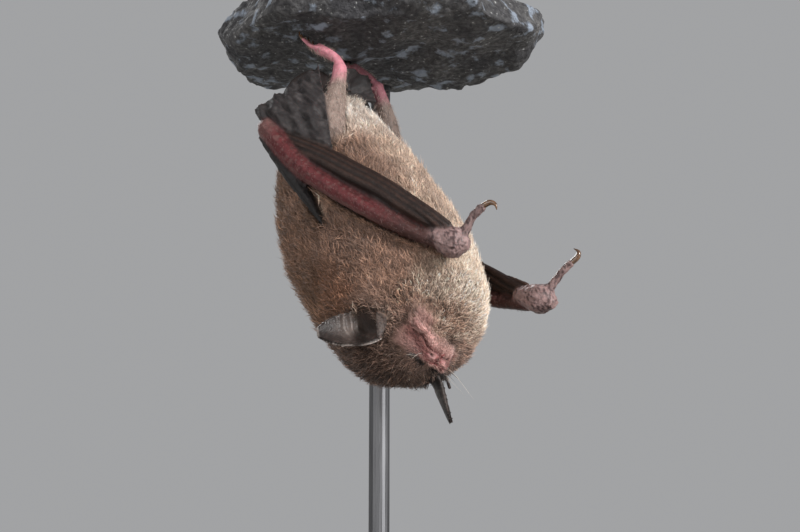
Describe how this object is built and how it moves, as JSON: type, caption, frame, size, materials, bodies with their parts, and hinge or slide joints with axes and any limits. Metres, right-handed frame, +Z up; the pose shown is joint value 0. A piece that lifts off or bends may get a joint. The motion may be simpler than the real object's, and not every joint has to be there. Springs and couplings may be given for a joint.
{
  "type": "hibernating mouse-eared bat model",
  "caption": "Life-size bat asleep, hanging head down by its hind feet under a piece of rock, with folded wings, on a plain display stand.",
  "frame": {"origin": "centre of the display base's underside, on the floor", "axes": "+Z up; the bat hangs in front of the rod and its head faces -Y, the viewer's side"},
  "size_m": [0.092, 0.084, 0.1257],
  "materials": {
    "belly_fur": "dense short buff fur, rusty brown on the back",
    "throat_fur": "pale cream fur of the throat",
    "head_fur": "short brown fur, bare pink skin round the muzzle",
    "ear_skin": "thin dark grey-brown skin with a pale rim",
    "wing_skin": "dark wrinkled flight skin",
    "arm_skin": "reddish wrinkled skin with fine pale hairs",
    "hand_skin": "grey-purple skin",
    "claw_horn": "dark horn",
    "leg_skin": "pink skin",
    "rock_stone": "dark grey stone",
    "rod_steel": "satin steel",
    "base_paint": "satin dark paint"
  },
  "bodies": {
    "root": {"ear_left": "ear_skin", "ear_right": "ear_skin", "fingers_left": "wing_skin", "fingers_right": "wing_skin", "foot_left": "leg_skin", "foot_right": "leg_skin", "forearm_left": "arm_skin", "forearm_right": "arm_skin", "head": "head_fur", "neck": "throat_fur", "perch_rock": "rock_stone", "shank_left": "leg_skin", "shank_right": "leg_skin", "stand_base": "base_paint", "stand_rod": "rod_steel", "tail": "wing_skin", "tail_membrane": "wing_skin", "thumb_claw_left": "claw_horn", "thumb_claw_right": "claw_horn", "thumb_left": "hand_skin", "thumb_right": "hand_skin", "tragus_left": "ear_skin", "tragus_right": "ear_skin", "trunk": "belly_fur", "upper_arm_left": "wing_skin", "upper_arm_right": "wing_skin", "wing_membrane_left": "wing_skin", "wing_membrane_right": "wing_skin", "wrist_left": "hand_skin", "wrist_right": "hand_skin"}
  },
  "joints": []
}
